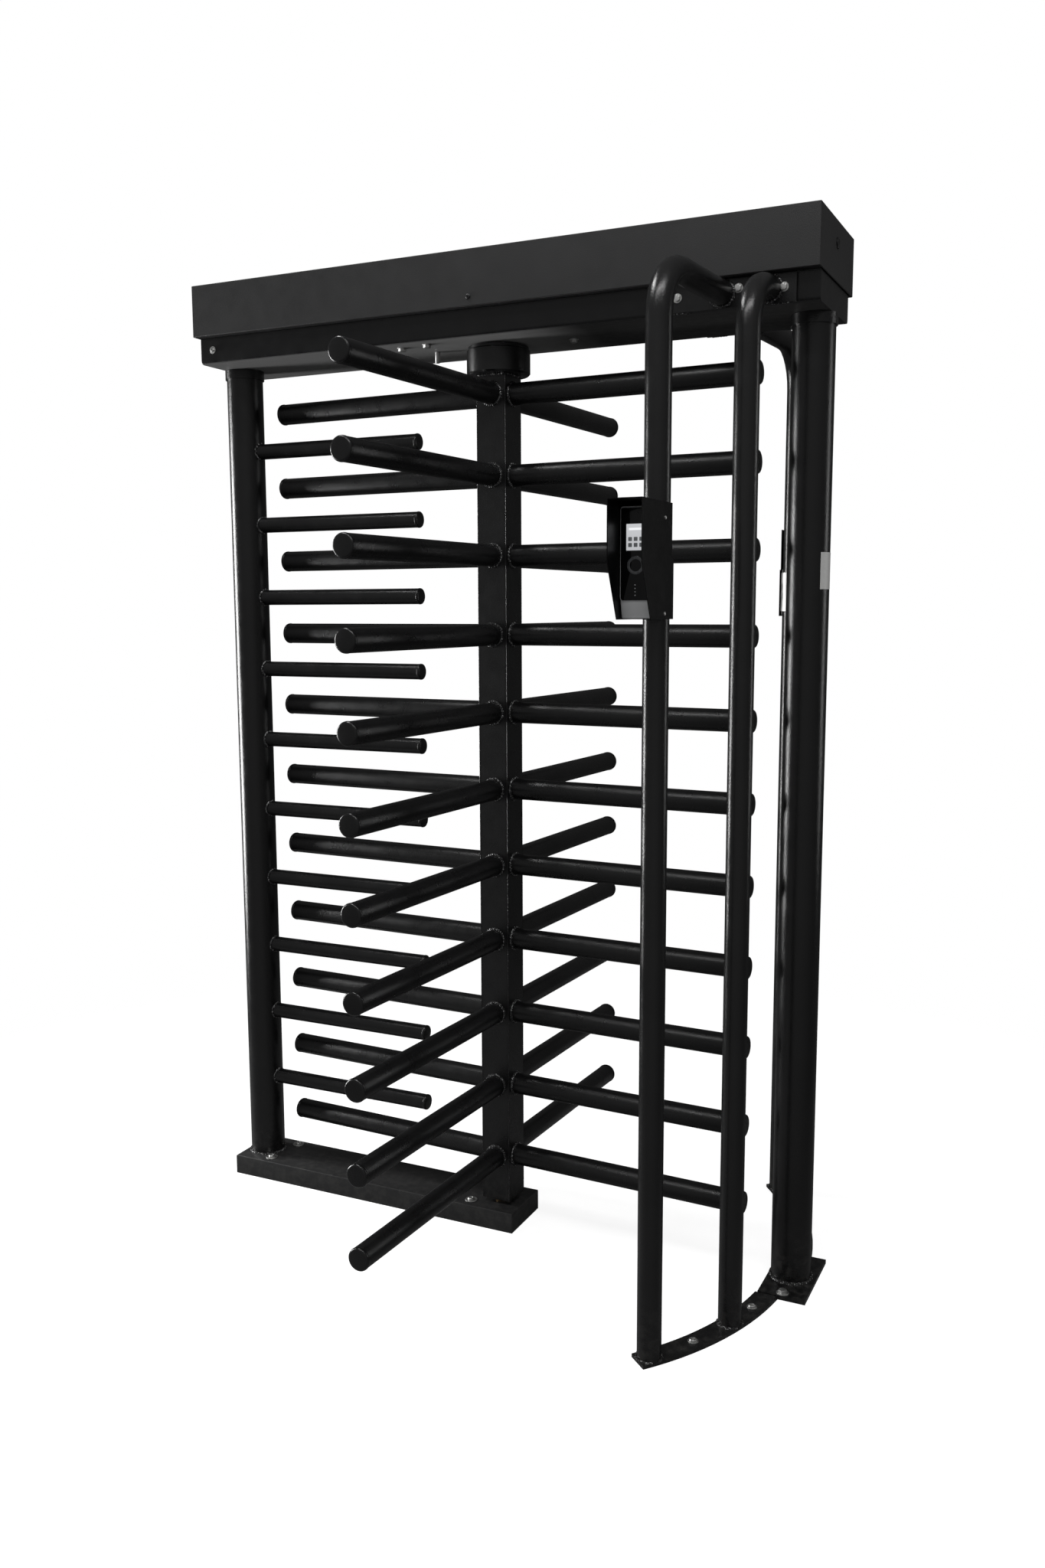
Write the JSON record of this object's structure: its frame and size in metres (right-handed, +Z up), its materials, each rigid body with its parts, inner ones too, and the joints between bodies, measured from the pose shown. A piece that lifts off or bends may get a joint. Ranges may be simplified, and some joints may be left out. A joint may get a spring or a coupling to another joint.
{
  "type": "full-height security turnstile",
  "caption": "Full-height rotor turnstile that lets visitors through one at a time, with a barred cage, curved guard, header mechanism and access readers.",
  "frame": {"origin": "rotor axis at floor level, on the underside of the bottom bearing", "axes": "+Z up along the rotor axis, +X along the header from the barrier bars towards the walking lane, +Y through the lane"},
  "size_m": [1.548, 1.2466, 2.28],
  "materials": {
    "powder_black": "semi-gloss fine-texture powder coat",
    "cover_black": "satin powder coat",
    "bare_steel": "machined",
    "zinc": "bright zinc plate",
    "bronze": "turned",
    "black_plastic": "moulded",
    "reader_glass": "tinted gloss",
    "circuit_board": "solder mask"
  },
  "bodies": {
    "frame": {"barrier_bar_01": "powder_black", "barrier_bar_02": "powder_black", "barrier_bar_03": "powder_black", "barrier_bar_04": "powder_black", "barrier_bar_05": "powder_black", "barrier_bar_06": "powder_black", "barrier_bar_07": "powder_black", "barrier_bar_08": "powder_black", "barrier_bar_09": "powder_black", "barrier_bar_10": "powder_black", "base_box": "powder_black", "bottom_bearing": "bronze", "control_board": "circuit_board", "damper_bridge": "bare_steel", "front_guard_arc_foot": "powder_black", "front_guard_bracket": "powder_black", "front_guard_inner_tube": "powder_black", "front_guard_tip_tube": "powder_black", "front_reader_clamp": "zinc", "front_reader_glass": "reader_glass", "front_reader_hood": "powder_black", "front_reader_terminal": "black_plastic", "header_channel": "powder_black", "header_cover": "cover_black", "left_post": "powder_black", "left_post_socket": "powder_black", "mechanism_plate": "bare_steel", "pawl_pin_a": "bare_steel", "pawl_pin_b": "bare_steel", "position_sensor": "zinc", "power_supply": "zinc", "rear_guard_arc_foot": "powder_black", "rear_guard_bracket": "powder_black", "rear_guard_inner_tube": "powder_black", "rear_guard_tip_tube": "powder_black", "rear_reader_clamp": "zinc", "rear_reader_glass": "reader_glass", "rear_reader_hood": "powder_black", "rear_reader_terminal": "black_plastic", "right_post": "powder_black", "right_post_plate": "powder_black", "right_post_socket": "powder_black", "rotary_damper": "black_plastic", "solenoid_a": "zinc", "solenoid_b": "zinc", "top_bearing": "bare_steel"},
    "rotor": {"dust_disc": "powder_black", "locking_hub": "bare_steel", "pivot_pin": "bare_steel", "rotor_drum": "powder_black", "rotor_foot_plate": "powder_black", "rotor_shaft": "bare_steel", "rotor_wing_front": "powder_black", "rotor_wing_left": "powder_black", "rotor_wing_rear": "powder_black", "rotor_wing_right": "powder_black"},
    "pawl_a": {"locking_pawl_a": "bare_steel"},
    "pawl_b": {"locking_pawl_b": "bare_steel"},
    "plunger_a": {"solenoid_plunger_a": "bare_steel"},
    "plunger_b": {"solenoid_plunger_b": "bare_steel"}
  },
  "joints": [
    {"name": "rotor_turn", "type": "hinge", "parent": "frame", "child": "rotor", "pos_m": [0, 0, 1], "axis": [0, 0, 1], "continuous": true},
    {"name": "pawl_a_swing", "type": "hinge", "parent": "frame", "child": "pawl_a", "pos_m": [0.15, -0.027, 2.162], "axis": [0, 0, 1], "range_deg": [-25, 0], "stiffness_Nm_per_rad": 0.6},
    {"name": "pawl_b_swing", "type": "hinge", "parent": "frame", "child": "pawl_b", "pos_m": [0.15, 0.027, 2.162], "axis": [0, 0, 1], "range_deg": [0, 25], "stiffness_Nm_per_rad": 0.6},
    {"name": "plunger_a_slide", "type": "slide", "parent": "frame", "child": "plunger_a", "axis": [0, 1, 0], "range_m": [0, 0.0222]},
    {"name": "plunger_b_slide", "type": "slide", "parent": "frame", "child": "plunger_b", "axis": [0, -1, 0], "range_m": [0, 0.0222]}
  ],
  "couplings": [
    {"joint": "plunger_a_slide", "follows": "pawl_a_swing", "m_per_rad": -0.0504},
    {"joint": "plunger_b_slide", "follows": "pawl_b_swing", "m_per_rad": 0.0504}
  ]
}
